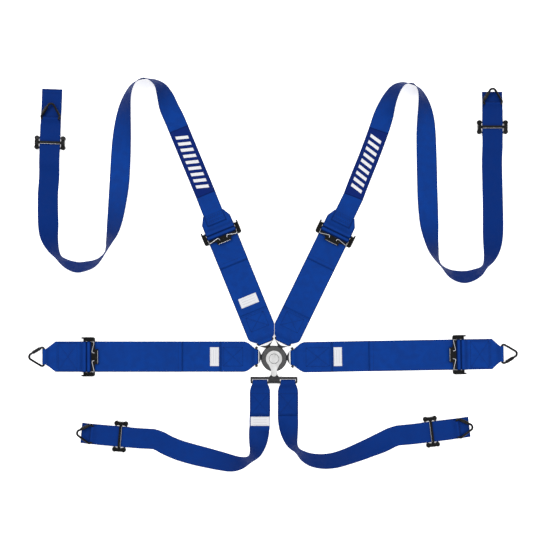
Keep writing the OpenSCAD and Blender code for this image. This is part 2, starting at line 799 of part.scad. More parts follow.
// ---------- webbing ----------

seam_x = 1;
seam_gap = 1;

module shoulder_strap_left() {
    color(WEB_BLUE) difference() {
        place(left_shoulder) lower_strap(left_shoulder_run, 80, 20);
        translate([seam_x - seam_gap / 2, 0, -1]) cube([80, 120, 20]);
    }
}

module shoulder_strap_right() {
    color(WEB_BLUE) difference() {
        place(right_shoulder) lower_strap(right_shoulder_run, 80, 20);
        translate([seam_x + seam_gap / 2 - 80, 0, -1]) cube([80, 120, 20]);
    }
}

module lap_strap_left() {
    color(WEB_BLUE) place(left_lap) lower_strap(left_lap_run, 91, 32);
}

module lap_strap_right() {
    color(WEB_BLUE) place(right_lap) lower_strap(right_lap_run, 100, 32);
}

module shoulder_tail_left() {
    color(WEB_BLUE) place(left_shoulder_adj) tail_webbing(left_shoulder_run - 207);
}

module shoulder_tail_right() {
    color(WEB_BLUE) place(right_shoulder_adj) tail_webbing(right_shoulder_run - 213);
}

module lap_tail_left() {
    color(WEB_BLUE) place(left_lap_adj) tail_webbing(left_lap_run - 184);
}

module lap_tail_right() {
    color(WEB_BLUE) place(right_lap_adj) tail_webbing(right_lap_run - 191);
}

module shoulder_loop_left() {
    color(WEB_BLUE) place(left_shoulder_adj) loop_piece();
}

module shoulder_loop_right() {
    color(WEB_BLUE) place(right_shoulder_adj) loop_piece();
}

module lap_end_left() {
    color(WEB_BLUE) place(left_lap_adj) lap_end(left_lap_hook_reach);
}

module lap_end_right() {
    color(WEB_BLUE) place(right_lap_adj) lap_end(right_lap_hook_reach);
}

module shoulder_upper_left() {
    color(WEB_BLUE) ribbon(left_upper_frames);
}

module shoulder_upper_right() {
    color(WEB_BLUE) ribbon(right_upper_frames);
}

module leg_strap_left() {
    color(WEB_BLUE) ribbon(left_leg_frames);
}

module leg_strap_right() {
    color(WEB_BLUE) ribbon(right_leg_frames);
}

// ---------- labels and patches ----------

label_w = 47;
label_t = 0.4;
on_strap = web_z + web_t + 0.05;
patch_t = 0.6;
patch_cut = 3.8;
patch_rise = (web_t + patch_t) / 2 + 0.15;
patch_first = 6;

module label_shoulder() {
    color(LABEL_WHITE) sewn_label(left_shoulder, 97, 122);
}

module label_lap_left() {
    color(LABEL_WHITE) sewn_label(left_lap, 93.5, 116);
}

module label_lap_right() {
    color(LABEL_WHITE) sewn_label(right_lap, 103, 124);
}

module label_leg() {
    color(LABEL_WHITE) sewn_label(left_leg, 86, 109);
}

module shoulder_patch_left() {
    color(PATCH_NAVY) band(left_upper_frames, patch_first, 11, patch_rise, patch_cut, patch_t);
}

module shoulder_patch_right() {
    color(PATCH_NAVY) band(right_upper_frames, patch_first, 12, patch_rise, patch_cut, patch_t);
}

// ---------- hardware ----------

module shoulder_adjuster_left() {
    color(STEEL_BLACK) place(left_shoulder_adj) adjuster();
}

module shoulder_adjuster_right() {
    color(STEEL_BLACK) place(right_shoulder_adj) adjuster();
}

module lap_adjuster_left() {
    color(STEEL_BLACK) place(left_lap_adj) adjuster();
}

module lap_adjuster_right() {
    color(STEEL_BLACK) place(right_lap_adj) adjuster();
}

module shoulder_slide_left() {
    color(STEEL_BLACK) place(left_shoulder_slide) slide();
}

module shoulder_slide_right() {
    color(STEEL_BLACK) place(right_shoulder_slide) slide();
}

module leg_slide_left() {
    color(STEEL_BLACK) place(left_leg_slide) slide();
}

module leg_slide_right() {
    color(STEEL_BLACK) place(right_leg_slide) slide();
}

module shoulder_hook_left() {
    color(STEEL_BLACK) place(further(left_shoulder_slide, left_shoulder_ends[0])) hook(1, slim_hook_z);
}

module shoulder_gate_left() {
    color(STEEL_BLACK) place(further(left_shoulder_slide, left_shoulder_ends[0])) gate(1, slim_hook_z);
}

module shoulder_hook_right() {
    color(STEEL_BLACK) place(further(right_shoulder_slide, right_shoulder_ends[0])) hook(1, slim_hook_z);
}

module shoulder_gate_right() {
    color(STEEL_BLACK) place(further(right_shoulder_slide, right_shoulder_ends[0])) gate(1, slim_hook_z);
}

module leg_hook_left() {
    color(STEEL_BLACK) place(further(left_leg_slide, left_leg_ends[0])) hook(-1, slim_hook_z);
}

module leg_gate_left() {
    color(STEEL_BLACK) place(further(left_leg_slide, left_leg_ends[0])) gate(-1, slim_hook_z);
}

module leg_hook_right() {
    color(STEEL_BLACK) place(further(right_leg_slide, right_leg_ends[0])) hook(1, slim_hook_z);
}

module leg_gate_right() {
    color(STEEL_BLACK) place(further(right_leg_slide, right_leg_ends[0])) gate(1, slim_hook_z);
}

module lap_hook_left() {
    color(STEEL_BLACK) place(further(left_lap_adj, left_lap_hook_reach)) hook(-1, bar_z);
}

module lap_gate_left() {
    color(STEEL_BLACK) place(further(left_lap_adj, left_lap_hook_reach)) gate(-1, bar_z);
}

module lap_hook_right() {
    color(STEEL_BLACK) place(further(right_lap_adj, right_lap_hook_reach)) hook(-1, bar_z);
}

module lap_gate_right() {
    color(STEEL_BLACK) place(further(right_lap_adj, right_lap_hook_reach)) gate(-1, bar_z);
}

buckle_cover();
buckle_rim();
buckle_back_plate();
buckle_screws();
buckle_spindle();
guide_plate();
fixed_tongue_rivet();
turn_lever();
release_cam();
lever_cap();
lever_spring();
latch_pins();
latch_springs();
shoulder_tongue_left();
shoulder_tongue_right();
lap_tongue_left();
lap_tongue_right();
crotch_tongue();
shoulder_strap_left();
shoulder_strap_right();
lap_strap_left();
lap_strap_right();
shoulder_tail_left();
shoulder_tail_right();
lap_tail_left();
lap_tail_right();
shoulder_adjuster_left();
shoulder_adjuster_right();
lap_adjuster_left();
lap_adjuster_right();
shoulder_loop_left();
shoulder_loop_right();
shoulder_upper_left();
shoulder_upper_right();
shoulder_patch_left();
shoulder_patch_right();
lap_end_left();
lap_end_right();
leg_strap_left();
leg_strap_right();
label_shoulder();
label_lap_left();
label_lap_right();
label_leg();
shoulder_slide_left();
shoulder_slide_right();
leg_slide_left();
leg_slide_right();
shoulder_hook_left();
shoulder_hook_right();
lap_hook_left();
lap_hook_right();
leg_hook_left();
leg_hook_right();
shoulder_gate_left();
shoulder_gate_right();
lap_gate_left();
lap_gate_right();
leg_gate_left();
leg_gate_right();
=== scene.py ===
"""Racing harness, laid flat. The frame gives the hardware. Webbing, labels and stitching are built here."""
import json
import math

import bmesh
import bpy
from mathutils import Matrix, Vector


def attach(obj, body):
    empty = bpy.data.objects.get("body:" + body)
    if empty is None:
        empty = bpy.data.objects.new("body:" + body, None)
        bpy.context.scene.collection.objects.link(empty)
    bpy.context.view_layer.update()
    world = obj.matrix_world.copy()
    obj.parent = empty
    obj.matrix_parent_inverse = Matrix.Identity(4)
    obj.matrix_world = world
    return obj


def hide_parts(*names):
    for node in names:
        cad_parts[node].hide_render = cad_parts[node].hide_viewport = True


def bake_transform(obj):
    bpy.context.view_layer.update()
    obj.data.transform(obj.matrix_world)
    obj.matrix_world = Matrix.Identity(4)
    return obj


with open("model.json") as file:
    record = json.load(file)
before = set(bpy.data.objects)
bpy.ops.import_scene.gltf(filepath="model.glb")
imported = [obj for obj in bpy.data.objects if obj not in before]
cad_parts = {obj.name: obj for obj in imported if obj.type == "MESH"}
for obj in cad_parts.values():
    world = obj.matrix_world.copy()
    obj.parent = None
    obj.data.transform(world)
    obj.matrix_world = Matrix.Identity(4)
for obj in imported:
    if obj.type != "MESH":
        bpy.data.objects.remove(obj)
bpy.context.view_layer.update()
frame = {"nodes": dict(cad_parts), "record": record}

MM = 0.001
TINY = 1e-6

# ---------- sizes shared with the frame, in millimetres ----------

WIDE, SLIM, WEB_T = 76.0, 50.8, 1.5
# Middle heights of the layers: on the floor, sewn on top of that one, and the free tail of a lower strap
FLOOR_MID, DOUBLE_MID, TAIL_LAYER = 0.95, 2.5, 2.75
# Middle heights of the three layers in a slide: the strap, its return from the hook and the free tail
MAIN_MID, RETURN_MID, TAIL_MID = 8.75, 7.05, 5.35
# Bars that the webbing turns round: their radii, their heights and, in an adjuster, their places along it
TONGUE_R, REAR_R, GRIP_R, HOOK_R = 3.7, 3.3, 3.8, 3.05
BAR_Z, HOOK_Z = 5.5, 10.85
GRIP_X, REAR_X = -1.5, 9.2
# The line where the two shoulder straps meet, and the gap there
SEAM_X, SEAM_GAP = 1.0, 1.0
# Middle height and width of the labels, which lie on a strap's single layer
LABEL_MID, LABEL_WIDTH = 2.03, 47

# Where each strap leaves its tongue: x, y, heading
SPOTS = {
    "shoulder_left": (-22.2, 42.6, 112.1),
    "shoulder_right": (22.2, 42.6, 64.0),
    "lap_left": (-44.0, 4.0, 180.0),
    "lap_right": (46.0, 2.0, 1.0),
    "leg_left": (-35.0, -60.0, 270.0),
    "leg_right": (35.0, -60.0, 270.0),
}
# Length to the adjuster, end of the sewn double layer, taper at the tongue and free end of the tail
LOWER = {
    "shoulder_left": (292.0, 80.0, 20.0, 207.0),
    "shoulder_right": (299.0, 80.0, 20.0, 213.0),
    "lap_left": (420.0, 91.0, 32.0, 184.0),
    "lap_right": (417.0, 100.0, 32.0, 191.0),
}
# Place and heading of each slide, and how far beyond it the hook's bar and the free end of the tail are
SLIDES = {
    "shoulder_left": ((-559.0, 538.0, 88.0), 60.0, 135.0),
    "shoulder_right": ((545.0, 577.0, 90.0), 58.0, 89.0),
    "leg_left": ((-384.0, -195.0, 175.0), 70.0, 98.0),
    "leg_right": ((393.0, -183.0, 7.0), 65.0, 96.0),
}
LAP_HOOK_REACH = {"left": 110.0, "right": 106.0}

# Centre lines on the floor as x, y, tilt: a positive tilt lifts the left edge, a negative one the right
ROUTES = {
    "shoulder_left": [
        (-171, 410, 0), (-200, 480, 0), (-227, 545, 0), (-248, 596, 8), (-261, 624, 20), (-270, 652, 38),
        (-281, 676, 58), (-298, 690, 74), (-320, 696, 84), (-340, 690, 80), (-354, 676, 72), (-364, 654, 62),
        (-371, 626, 48), (-376, 590, 33), (-380, 545, 18), (-383, 495, 8), (-386, 440, 8), (-390, 395, 20),
        (-395, 352, 32), (-401, 318, 46), (-409, 292, 64), (-418, 266, 80), (-431, 248, 76), (-447, 236, 67),
        (-466, 230, 61), (-486, 227, 59), (-505, 232, 64), (-521, 241, 73), (-535, 253, 80), (-546, 269, 68),
        (-554, 287, 52), (-560, 308, 35), (-563, 335, 16), (-565, 372, 2), (-565, 410, 0), (-563, 438, 0),
    ],
    "shoulder_right": [
        (198, 403, 0), (214, 445, 0), (240, 510, 0), (262, 570, -4), (272, 602, -14), (280, 628, -34),
        (290, 652, -48), (304, 673, -60), (323, 684, -76), (344, 682, -84), (359, 671, -74), (368, 654, -62),
        (374, 630, -46), (378, 597, -27), (380, 550, -10), (382, 480, -2), (384, 400, -2), (387, 338, -18),
        (391, 300, -38), (397, 270, -54), (405, 247, -72), (416, 230, -80), (434, 214, -68), (452, 206, -58),
        (470, 203, -54), (488, 206, -58), (507, 215, -68), (523, 229, -82), (534, 247, -66), (541, 270, -46),
        (545, 298, -26), (547, 335, -8), (547, 385, 0), (546, 430, 0), (545, 478, 0),
    ],
    "leg_left": [
        (-35, -130, 0), (-36, -155, 0), (-36, -172, 0), (-37, -179, 0), (-38, -191, 12), (-41, -212, 32),
        (-47, -232, 54), (-60, -249, 76),
        (-80, -258, 62), (-104, -260, 44), (-132, -255, 33), (-164, -248, 24), (-200, -240, 12),
        (-236, -230, 4), (-264, -219, 0), (-284, -208, 0),
    ],
    "leg_right": [
        (35, -130, 0), (35, -150, -2), (38, -180, -28), (45, -207, -54), (57, -226, -78), (73, -241, -68),
        (94, -251, -58), (122, -255, -52), (152, -252, -48), (182, -243, -45), (212, -232, -38),
        (242, -220, -30), (270, -209, -14), (292, -199, 0),
    ],
}


def further(spot, s):
    """The spot that is s further along its own heading."""
    h = math.radians(spot[2])
    return (spot[0] + s * math.cos(h), spot[1] + s * math.sin(h), spot[2])


def left_of(heading):
    """The direction on the floor to the left of a heading in degrees."""
    h = math.radians(heading)
    return Vector((-math.sin(h), math.cos(h), 0.0))


ADJUSTERS = {k: further(SPOTS[k], LOWER[k][0]) for k in LOWER}

# ---------- bands: rows of (centre, width direction, left half width, right half width) ----------


def level_rows(spot, rows):
    """Rows given as distance along the spot, height, width and, where it differs, the right half width."""
    h = math.radians(spot[2])
    out = []
    for s, z, width, *right in rows:
        centre = Vector((spot[0] + s * math.cos(h), spot[1] + s * math.sin(h), z))
        out.append((centre, left_of(spot[2]), width / 2, right[0] if right else width / 2))
    return out


def arc_rows(centre, r, start, end, steps, width):
    """Rows round a bar, seen from the side, from one angle to another in degrees."""
    rows = []
    for k in range(steps + 1):
        a = math.radians(start + (end - start) * k / steps)
        rows.append((centre[0] + r * math.cos(a), centre[1] + r * math.sin(a), width))
    return rows


def spline(a, b, c, d, u):
    """The Catmull-Rom curve between b and c."""
    square, cube = 2 * a - 5 * b + 4 * c - d, 3 * b - a - 3 * c + d
    return 0.5 * (2 * b + (c - a) * u + square * u * u + cube * u ** 3)


def smooth_path(points, steps):
    """A curve through the points, with steps pieces between each two."""
    last = len(points) - 1
    fine = []
    for i in range(last):
        around = (points[max(i - 1, 0)], points[i], points[i + 1], points[min(i + 2, last)])
        fine += [spline(*around, k / steps) for k in range(steps)]
    return fine + [points[last]]


def route_rows(route, steps):
    """Rows along a route over the floor. A tilted row stands on its lower edge."""
    fine = smooth_path([Vector(p) for p in route], steps)
    rows = []
    for i, p in enumerate(fine):
        step = fine[min(i + 1, len(fine) - 1)] - fine[max(i - 1, 0)]
        side = left_of(math.degrees(math.atan2(step.y, step.x)))
        tilt = math.radians(p.z)
        centre = Vector((p.x, p.y, FLOOR_MID + SLIM / 2 * abs(math.sin(tilt))))
        rows.append((centre, side * math.cos(tilt) + Vector((0, 0, math.sin(tilt))), SLIM / 2, SLIM / 2))
    return rows


def denser(rows, step):
    """Adds rows on the straight stretches so that no two are further apart than step."""
    out = [rows[0]]
    for a, b in zip(rows, rows[1:]):
        count = max(1, math.ceil((b[0] - a[0]).length / step))
        for k in range(1, count + 1):
            u = k / count
            side = (a[1] * (1 - u) + b[1] * u).normalized()
            out.append((a[0].lerp(b[0], u), side, a[2] * (1 - u) + b[2] * u, a[3] * (1 - u) + b[3] * u))
    return out


class Band:
    """A length of webbing. point() gives a place on its face from a distance along and a share across."""

    def __init__(self, rows, step=6.0):
        self.rows = denser(rows, step)
        last = len(self.rows) - 1
        self.normals, self.along = [], [0.0]
        for i, row in enumerate(self.rows):
            forward = self.rows[min(i + 1, last)][0] - self.rows[max(i - 1, 0)][0]
            self.normals.append(forward.cross(row[1]).normalized())
            if i:
                self.along.append(self.along[-1] + (row[0] - self.rows[i - 1][0]).length)
        self.length = self.along[-1]

    def point(self, s, across, off):
        """s in mm along, across from -1 at the right edge to 1 at the left, off above the middle surface."""
        i, low, high = 0, 0, len(self.along) - 2
        while low <= high:
            i = (low + high) // 2
            if self.along[i + 1] < s:
                low = i + 1
            elif self.along[i] > s:
                high = i - 1
            else:
                break
        a, b = self.rows[i], self.rows[i + 1]
        u = (s - self.along[i]) / max(self.along[i + 1] - self.along[i], TINY)
        side = (a[1] * (1 - u) + b[1] * u).normalized()
        left, right = a[2] * (1 - u) + b[2] * u, a[3] * (1 - u) + b[3] * u
        n = (self.normals[i] * (1 - u) + self.normals[i + 1] * u).normalized()
        reach = left if across > 0 else right
        return a[0].lerp(b[0], u) + side * across * reach + n * off


# Share across the band and share of the half thickness there: full in the middle, round at the selvedges
EDGE = [(-1.0, 0.35), (-0.985, 0.8), (-0.955, 1.0), (-0.93, 0.9)]
SECTION = EDGE + [(c / 5, 0.92) for c in range(-4, 5)] + [(-a, h) for a, h in reversed(EDGE)]


def add_mesh(name, verts, faces, uvs=None, smooth=True):
    """An object from points in millimetres, with its faces turned outwards."""
    mesh = bpy.data.meshes.new(name)
    mesh.from_pydata([tuple(Vector(v) * MM) for v in verts], [], faces)
    if uvs:
        layer = mesh.uv_layers.new(name="UVMap")
        for loop in mesh.loops:
            layer.data[loop.index].uv = uvs[loop.vertex_index]
    for polygon in mesh.polygons:
        polygon.use_smooth = smooth
    mesh.validate()
    shape = bmesh.new()
    shape.from_mesh(mesh)
    bmesh.ops.recalc_face_normals(shape, faces=shape.faces)
    shape.to_mesh(mesh)
    shape.free()
    obj = bpy.data.objects.new(name, mesh)
    bpy.context.scene.collection.objects.link(obj)
    return obj


def web_piece(name, band, half_t=WEB_T / 2, closed=False, ripple=0.0):
    """The band as a closed mesh, with its u along the webbing and its v across, both in metres."""
    verts, uvs, faces = [], [], []
    count = len(SECTION)
    loop = 2 * count
    wave, slant = 0.045, 2.2
    rows = band.rows[:-1] if closed else band.rows
    for i, row in enumerate(rows):
        n = band.normals[i]
        for sign in (1, -1):
            section = SECTION if sign > 0 else list(reversed(SECTION))
            for across, share in section:
                reach = row[2] if across > 0 else row[3]
                lift = ripple * math.sin(band.along[i] * wave + slant * across) * (1 - across * across)
                verts.append(row[0] + row[1] * across * reach + n * (sign * half_t * share + lift))
                uvs.append((band.along[i] * MM, across * reach * MM))
    total = len(rows)
    for i in range(total if closed else total - 1):
        a, b = i * loop, ((i + 1) % total) * loop
        for k in range(loop):
            m = (k + 1) % loop
            faces.append((a + k, a + m, b + m, b + k))
    if not closed:
        for base, flip in ((0, False), ((total - 1) * loop, True)):
            for k in range(count - 1):
                quad = (base + k, base + loop - 1 - k, base + loop - 2 - k, base + k + 1)
                faces.append(tuple(reversed(quad)) if flip else quad)
    return add_mesh(name, verts, faces, uvs)


# ---------- stitching ----------


# A stitch's share of the way and relative radius, ring by ring, and how deep and flat it lies
STITCH_RINGS = ((0.0, 0.35), (0.18, 0.9), (0.5, 1.05), (0.82, 0.9), (1.0, 0.35))
STITCH_SINK, STITCH_FLAT, STITCH_SIDES = 0.6, 0.8, 6
# Where a stitch starts and ends in its share of the line, and how far above the middle surface it lies
STITCH_GAP = (0.1, 0.86)
STITCH_OFF = WEB_T / 2 - 0.05


def thread(verts, faces, band, a, b, off, r):
    """One stitch: a flat-bottomed arch of thread between two places on a band."""
    start, end = band.point(*a, off), band.point(*b, off)
    up = (band.point(*a, off + 1) - start).normalized()
    side = (end - start).cross(up)
    if side.length < TINY:
        return
    side.normalize()
    rings = []
    for t, size in STITCH_RINGS:
        centre = start.lerp(end, t) + up * (r * (size - STITCH_SINK))
        rings.append((centre, side, up * STITCH_FLAT, r * size))
    add_tube(verts, faces, rings, STITCH_SIDES)


def add_tube(verts, faces, rings, sides):
    """A closed tube through rings of (centre, two directions across, radius)."""
    base = len(verts)
    for centre, first, second, r in rings:
        for k in range(sides):
            a = math.tau * k / sides
            verts.append(centre + first * (math.cos(a) * r) + second * (math.sin(a) * r))
    last = base + sides * (len(rings) - 1)
    for a in range(base, last, sides):
        for k in range(sides):
            m = (k + 1) % sides
            faces.append((a + k, a + m, a + sides + m, a + sides + k))
    faces.append(tuple(base + k for k in range(sides - 1, -1, -1)))
    faces.append(tuple(last + k for k in range(sides)))


def stitching(name, band, lines, body, material, off=STITCH_OFF, pitch=3.6, r=0.42):
    """Lines of stitches along pairs of (distance along, share across)."""
    verts, faces = [], []
    for (s0, a0), (s1, a1) in lines:
        here = band.point(s0, a0, 0)
        count = max(1, round((band.point(s1, a1, 0) - here).length / pitch))
        for k in range(count):
            u0, u1 = (k + STITCH_GAP[0]) / count, (k + STITCH_GAP[1]) / count
            first = (s0 + (s1 - s0) * u0, a0 + (a1 - a0) * u0)
            second = (s0 + (s1 - s0) * u1, a0 + (a1 - a0) * u1)
            thread(verts, faces, band, first, second, off, r)
    finish_piece(add_mesh(name, verts, faces), body, material)


def lengthwise(s0, s1, edge):
    """A line of stitches along each edge."""
    return [((s0, -edge), (s1, -edge)), ((s0, edge), (s1, edge))]


def crosswise(places, edge):
    """A line of stitches across the band at each of the places."""
    return [((s, -edge), (s, edge)) for s in places]


def box_cross(s0, s1, edge):
    """A box with a cross in it."""
    diagonals = [((s0, -edge), (s1, edge)), ((s0, edge), (s1, -edge))]
    return lengthwise(s0, s1, edge) + crosswise((s0, s1), edge) + diagonals


def zigzag(s0, s1, edge, count):
    """A tack of count slanted lines between two places."""
    lines = []
    for k in range(count):
        a, b = -edge + 2 * edge * k / count, -edge + 2 * edge * (k + 1) / count
        lines.append(((s0 if k % 2 else s1, a), (s1 if k % 2 else s0, b)))
    return lines


def finish_piece(obj, body, material, replaced=()):
    """Gives a piece its material, the body that it rides on and the nodes that it stands in for."""
    obj.data.materials.clear()
    obj.data.materials.append(material)
    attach(obj, body)
    if replaced:
        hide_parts(*replaced)


# ---------- materials ----------


class Shade:
    """A Principled material and short names for the nodes that it needs."""

    def __init__(self, name, color, rough, metallic=0.0):
        self.material = bpy.data.materials.new(name)
        self.material.use_nodes = True
        self.tree = self.material.node_tree
        self.shader = self.tree.nodes["Principled BSDF"]
        self.shader.inputs["Base Color"].default_value = (*color, 1)
        self.shader.inputs["Roughness"].default_value = rough
        self.shader.inputs["Metallic"].default_value = metallic

    def node(self, kind, **inputs):
        made = self.tree.nodes.new(kind)
        for key, value in inputs.items():
            self.feed(made, key.replace("_", " "), value)
        return made

    def feed(self, made, key, value):
        """Links a socket to an input, or sets the input to a value."""
        if isinstance(value, bpy.types.NodeSocket):
            self.tree.links.new(value, made.inputs[key])
        else:
            made.inputs[key].default_value = value

    def math(self, operation, a, b=0.0):
        made = self.tree.nodes.new("ShaderNodeMath")
        made.operation = operation
        self.feed(made, 0, a)
        self.feed(made, 1, b)
        return made.outputs[0]

    def noise(self, scale, detail, stretch=(1, 1, 1)):
        place = self.tree.nodes.new("ShaderNodeTexCoord")
        mapping = self.node("ShaderNodeMapping", Vector=place.outputs["Object"], Scale=stretch)
        texture = self.node("ShaderNodeTexNoise", Vector=mapping.outputs[0], Scale=scale, Detail=detail)
        return texture.outputs["Fac"]

    def remap(self, value, low, high, to_low=0.0, to_high=1.0):
        made = self.tree.nodes.new("ShaderNodeMapRange")
        for i, part in enumerate((value, low, high, to_low, to_high)):
            self.feed(made, i, part)
        return made.outputs[0]

    def mix(self, factor, a, b):
        made = self.tree.nodes.new("ShaderNodeMix")
        made.data_type = "RGBA"
        self.feed(made, 0, factor)
        self.feed(made, 6, a if isinstance(a, bpy.types.NodeSocket) else (*a, 1))
        self.feed(made, 7, b if isinstance(b, bpy.types.NodeSocket) else (*b, 1))
        return made.outputs[2]

    def color(self, socket):
        self.tree.links.new(socket, self.shader.inputs["Base Color"])

    def rough(self, socket):
        self.tree.links.new(socket, self.shader.inputs["Roughness"])

    def bump(self, height, strength, distance, under=None):
        """A fine bump, on top of a broad soft one where under is given."""
        made = self.node("ShaderNodeBump", Height=height, Strength=strength, Distance=distance)
        if under:
            broad = self.node("ShaderNodeBump", Height=under, Strength=0.5, Distance=0.004)
            self.feed(made, "Normal", broad.outputs[0])
        self.tree.links.new(made.outputs[0], self.shader.inputs["Normal"])

    def facing_up(self):
        """How level the surface is: 1 where it lies flat, 0 where it stands on edge."""
        geometry = self.tree.nodes.new("ShaderNodeNewGeometry")
        split = self.node("ShaderNodeSeparateXYZ", Vector=geometry.outputs["Normal"])
        return self.math("ABSOLUTE", split.outputs[2])

    def uv(self):
        place = self.tree.nodes.new("ShaderNodeUVMap")
        split = self.node("ShaderNodeSeparateXYZ", Vector=place.outputs[0])
        return split.outputs[0], split.outputs[1]


def weave(shade, rib, pick):
    """Height of a twill weave from the u and v of the webbing: ribs along it, crossed by slanted picks."""
    u, v = shade.uv()
    ribs = shade.math("SINE", shade.math("MULTIPLY", v, math.tau / rib))
    slant = shade.math("PINGPONG", v, rib * 2)
    picks = shade.math("SINE", shade.math("MULTIPLY", shade.math("ADD", u, slant), math.tau / pick))
    return shade.math("ADD", ribs, shade.math("MULTIPLY", picks, 0.7)), u, v


def darker(color, share):
    """The colour at a share of its brightness."""
    return tuple(c * share for c in color)


def webbing_material(name, base, dark, light, half, far=None):
    """Twill webbing. far is where a run of painted shade begins and is full, in metres along it, and how dark
    it gets.
    """
    shade = Shade(name, base, 0.62)
    height, u, v = weave(shade, rib=0.0021, pick=0.0017)
    blotch = shade.remap(shade.noise(62, 4), 0.36, 0.62)
    drift = shade.remap(shade.noise(9, 2), 0.35, 0.65)
    fibre = shade.remap(shade.noise(900, 2), 0.25, 0.75)
    woven = shade.remap(height, -1.7, 1.7)
    tone = shade.mix(blotch, shade.mix(0.5, dark, base), base)
    tone = shade.mix(shade.math("MULTIPLY", drift, 0.35), tone, dark)
    tone = shade.mix(shade.math("MULTIPLY", woven, 0.45), tone, light)
    tone = shade.mix(shade.math("MULTIPLY", fibre, 0.16), tone, dark)
    # The selvedges are darker, and webbing that turns away from the light above gets painted shade
    selvedge = shade.remap(shade.math("ABSOLUTE", v), (half - 2.6) * MM, (half - 1.4) * MM)
    tone = shade.mix(shade.math("MULTIPLY", selvedge, 0.6), tone, darker(dark, 0.6))
    tilt = shade.remap(shade.facing_up(), 0.995, 0.6, 0.0, 0.85)
    tone = shade.mix(tilt, tone, darker(dark, 0.7))
    # Painted shade over the run of the strap that far gives
    if far:
        tone = shade.mix(shade.remap(u, far[0], far[1], 0.0, far[2]), tone, dark)
    shade.color(tone)
    shade.rough(shade.remap(blotch, 0, 1, 0.55, 0.72))
    shade.shader.inputs["Sheen Weight"].default_value = 0.012
    shade.shader.inputs["Sheen Roughness"].default_value = 0.4
    shade.shader.inputs["Specular IOR Level"].default_value = 0.05
    shade.bump(height, 0.35, 0.00018, under=shade.noise(24, 2))
    return shade.material


def thread_material(name, color):
    """Twisted thread with a dull sheen."""
    shade = Shade(name, color, 0.7)
    shade.shader.inputs["Specular IOR Level"].default_value = 0.08
    twist = shade.noise(1400, 2)
    shade.color(shade.mix(shade.remap(twist, 0.3, 0.7), color, darker(color, 0.6)))
    shade.bump(twist, 0.4, 0.0001)
    return shade.material


def label_material():
    """Woven satin label: a pale ground with plain grey bands instead of any wording."""
    shade = Shade("label_satin", (0.8, 0.8, 0.81), 0.45)
    u, v = shade.uv()
    grain = shade.noise(1100, 2, (1, 4, 1))
    pitch, reach = 0.0062, 0.017
    wave = shade.math("SINE", shade.math("MULTIPLY", u, math.tau / pitch))
    bands = shade.math("GREATER_THAN", wave, 0.72)
    inside = shade.math("LESS_THAN", shade.math("ABSOLUTE", v), reach)
    mark = shade.math("MULTIPLY", shade.math("MULTIPLY", bands, inside), 0.5)
    ground = shade.mix(shade.remap(grain, 0.3, 0.7), (0.62, 0.62, 0.64), (0.50, 0.50, 0.53))
    shade.color(shade.mix(mark, ground, (0.32, 0.33, 0.36)))
    shade.bump(grain, 0.25, 0.0001)
    return shade.material


def metal_material(name, base, worn, rough, wear, scale=240, metallic=0.9):
    """Coated or bare metal: fine grain, scuffs that show the metal and a little uneven gloss."""
    shade = Shade(name, base, rough, metallic)
    fine = shade.noise(scale * 6, 3)
    scuff = shade.remap(shade.noise(scale, 6), 0.62, 0.74)
    cloud = shade.noise(scale * 0.3, 2)
    lighter = tuple(c * 1.35 for c in base)
    tone = shade.mix(shade.remap(cloud, 0.3, 0.7), base, lighter)
    shade.color(shade.mix(shade.math("MULTIPLY", scuff, wear), tone, worn))
    shade.rough(shade.remap(fine, 0.2, 0.8, rough - 0.08, rough + 0.1))
    shade.bump(fine, 0.2, 0.00006)
    return shade.material


def floor_material():
    """Studio white, lit from within so that it stays white round the harness."""
    shade = Shade("studio_floor", (0.93, 0.93, 0.93), 0.9)
    cloud = shade.noise(2.0, 2)
    shade.color(shade.mix(cloud, (0.93, 0.93, 0.93), (0.95, 0.95, 0.95)))
    shade.shader.inputs["Emission Color"].default_value = (1, 1, 1, 1)
    shade.shader.inputs["Emission Strength"].default_value = 0.6
    return shade.material


# Base, dark and light tone
BLUES = ((0.0014, 0.031, 0.205), (0.0006, 0.016, 0.118), (0.006, 0.054, 0.290))
NAVIES = ((0.002, 0.012, 0.115), (0.001, 0.008, 0.08), (0.004, 0.022, 0.155))
# A half width beyond the patch's own, so that it has no dark selvedges
NO_SELVEDGE = 60
WEB_WIDE = webbing_material("webbing_wide", *BLUES, WIDE / 2)
# The upper straps get painted shade towards their far ends, and the leg straps get painted shade all along
WEB_UPPER = webbing_material("webbing_upper", *BLUES, SLIM / 2, far=(0.75, 1.05, 0.85))
WEB_LEG = webbing_material("webbing_leg", *BLUES, SLIM / 2, far=(-1.0, 0.0, 0.5))
PATCH = webbing_material("patch_navy", *NAVIES, NO_SELVEDGE)
THREAD_DARK = thread_material("thread_navy", (0.002, 0.016, 0.11))
THREAD_WHITE = thread_material("thread_white", (0.75, 0.75, 0.77))
LABEL = label_material()
# By slot, and one for the beads: name, colour, colour where it is worn, roughness and amount of wear
METALS = {
    "housing": metal_material(
        "graphite_paint", (0.045, 0.045, 0.046), (0.2, 0.2, 0.2), 0.5, 0.7, scale=900, metallic=0.3),
    "lever": metal_material("satin_lever", (0.62, 0.62, 0.62), (0.8, 0.8, 0.8), 0.32, 0.4, metallic=0.85),
    "stamped_steel": metal_material("black_stamping", (0.009, 0.009, 0.009), (0.12, 0.115, 0.11), 0.32, 0.4),
    "wire_steel": metal_material("black_wire", (0.009, 0.009, 0.010), (0.12, 0.12, 0.12), 0.28, 0.4),
    "tongue_steel": metal_material(
        "coated_tongue", (0.022, 0.022, 0.024), (0.14, 0.14, 0.14), 0.42, 0.4, metallic=0.5),
    # Bright metal of the beads: worn edges on the adjusters and a painted highlight on the slides
    "wear_and_highlight_edge": metal_material("wear_and_highlight_edge", (0.42, 0.42, 0.45), (0.62, 0.62, 0.64), 0.3, 0.6),
    "spring_steel": metal_material("spring_steel", (0.5, 0.5, 0.52), (0.6, 0.6, 0.62), 0.3, 0.2),
    "bare_steel": metal_material("zinc_plate", (0.3, 0.3, 0.32), (0.45, 0.45, 0.46), 0.4, 0.3),
}


